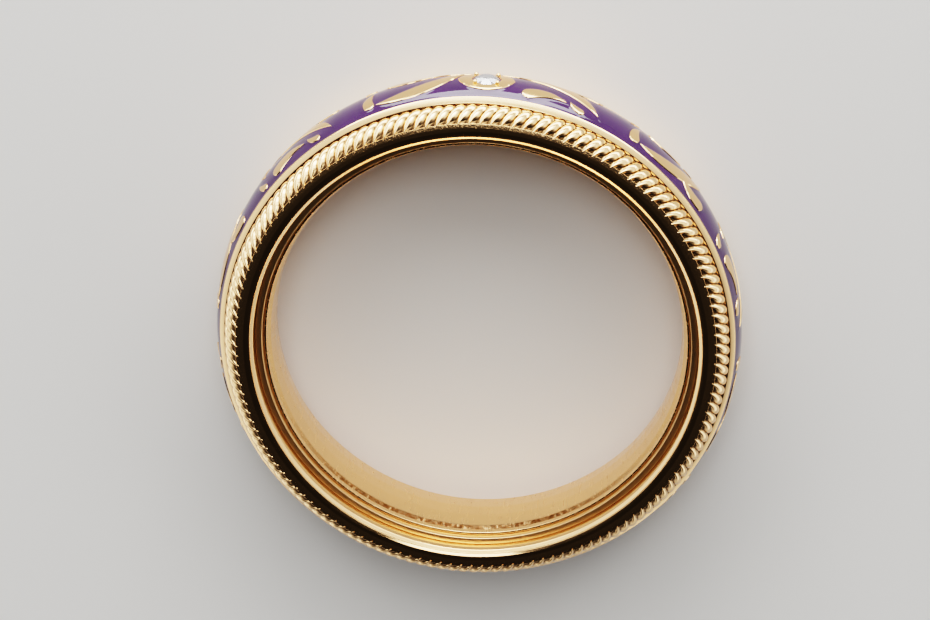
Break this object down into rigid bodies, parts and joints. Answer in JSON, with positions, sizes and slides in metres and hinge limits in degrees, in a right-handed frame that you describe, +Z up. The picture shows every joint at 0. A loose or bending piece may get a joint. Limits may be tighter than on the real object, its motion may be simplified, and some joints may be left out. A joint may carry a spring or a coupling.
{
  "type": "spinner ring",
  "caption": "Gold finger ring with a freely turning enamelled band between two rope-edged collars, and a small round stone in a gold plate.",
  "frame": {"origin": "centre of the ring's outline on the surface that it rests on, below the middle of the finger hole", "axes": "+Z up, along the ring's axis; the front side of the ring is on top; +Y from the centre towards the stone of the turning band at rest"},
  "size_m": [0.0226, 0.0227, 0.0052],
  "materials": {
    "polished_gold": "polished 18 carat yellow gold",
    "satin_gold": "satin 18 carat yellow gold with a polished inner shoulder",
    "lining_gold": "polished 18 carat yellow gold with fine scratches from wear",
    "purple_enamel": "glossy purple vitreous enamel",
    "clear_stone": "clear brilliant-cut stone"
  },
  "bodies": {
    "ring_body": {"inner_sleeve": "lining_gold", "running_tube": "polished_gold", "front_collar": "satin_gold", "back_collar": "satin_gold", "front_rope": "polished_gold", "back_rope": "polished_gold"},
    "turning_band": {"spinner_band": "polished_gold", "enamel": "purple_enamel", "diamond": "clear_stone"}
  },
  "joints": [
    {"name": "band_turn", "type": "hinge", "parent": "ring_body", "child": "turning_band", "pos_m": [0, 0, 0.0026], "axis": [0, 0, 1], "continuous": true}
  ]
}
